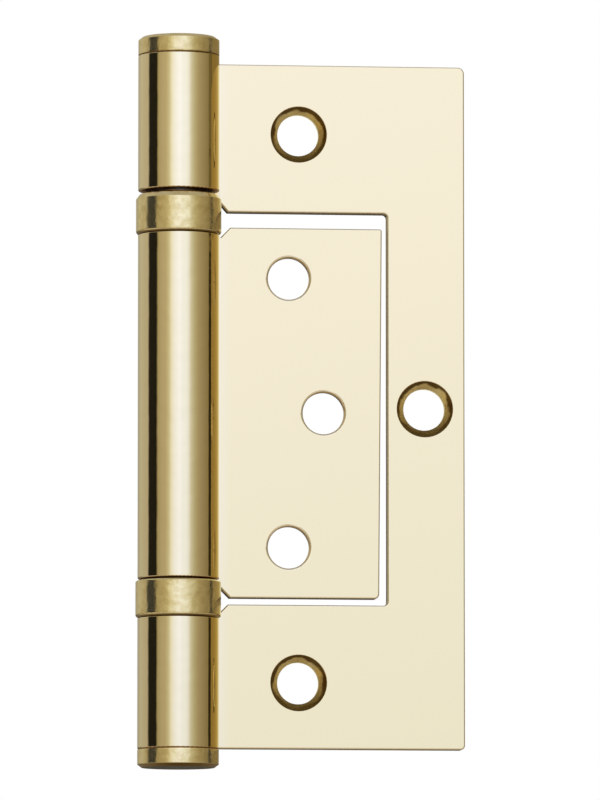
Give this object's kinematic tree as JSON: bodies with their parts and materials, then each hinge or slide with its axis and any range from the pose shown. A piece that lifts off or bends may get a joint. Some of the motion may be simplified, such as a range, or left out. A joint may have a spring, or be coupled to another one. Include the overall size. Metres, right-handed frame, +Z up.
{
  "type": "non-mortise hinge",
  "caption": "Non-mortise door hinge: a small leaf folds into a window in a large leaf, and both are rolled round a capped pin with ball bearing rings between the knuckles.",
  "frame": {"origin": "middle of the frame leaf's screw pair, on the face that lies on the jamb", "axes": "+X from the pin towards the leaves' free edges, +Y into the jamb, +Z up along the pin"},
  "size_m": [0.0484, 0.0124, 0.1063],
  "materials": {
    "polished_brass": "mirror-polished brass plate",
    "satin_brass": "satin turned brass",
    "pin_steel": "drawn steel",
    "bearing_steel": "ground and hardened",
    "cage_brass": "stamped brass"
  },
  "bodies": {
    "frame": {"frame_leaf": "polished_brass", "hinge_pin": "pin_steel", "top_cap": "satin_brass", "bottom_cap": "satin_brass", "lower_bearing_shell": "satin_brass", "lower_bearing_lower_race": "bearing_steel", "upper_bearing_upper_race": "bearing_steel"},
    "door": {"door_leaf": "polished_brass", "lower_bearing_upper_race": "bearing_steel", "upper_bearing_shell": "satin_brass", "upper_bearing_lower_race": "bearing_steel"},
    "lower_ball_set": {"lower_bearing_balls": "bearing_steel", "lower_bearing_cage": "cage_brass"},
    "upper_ball_set": {"upper_bearing_balls": "bearing_steel", "upper_bearing_cage": "cage_brass"}
  },
  "joints": [
    {"name": "door_swing", "type": "hinge", "parent": "frame", "child": "door", "pos_m": [-0.0179, -0.0059, 0], "axis": [0, 0, -1], "range_deg": [0, 180]},
    {"name": "lower_ball_orbit", "type": "hinge", "parent": "frame", "child": "lower_ball_set", "pos_m": [-0.0179, -0.0059, 0], "axis": [0, 0, -1], "range_deg": [0, 90]},
    {"name": "upper_ball_orbit", "type": "hinge", "parent": "frame", "child": "upper_ball_set", "pos_m": [-0.0179, -0.0059, 0], "axis": [0, 0, -1], "range_deg": [0, 90]}
  ],
  "couplings": [
    {"joint": "lower_ball_orbit", "follows": "door_swing", "ratio": 0.5},
    {"joint": "upper_ball_orbit", "follows": "door_swing", "ratio": 0.5}
  ]
}
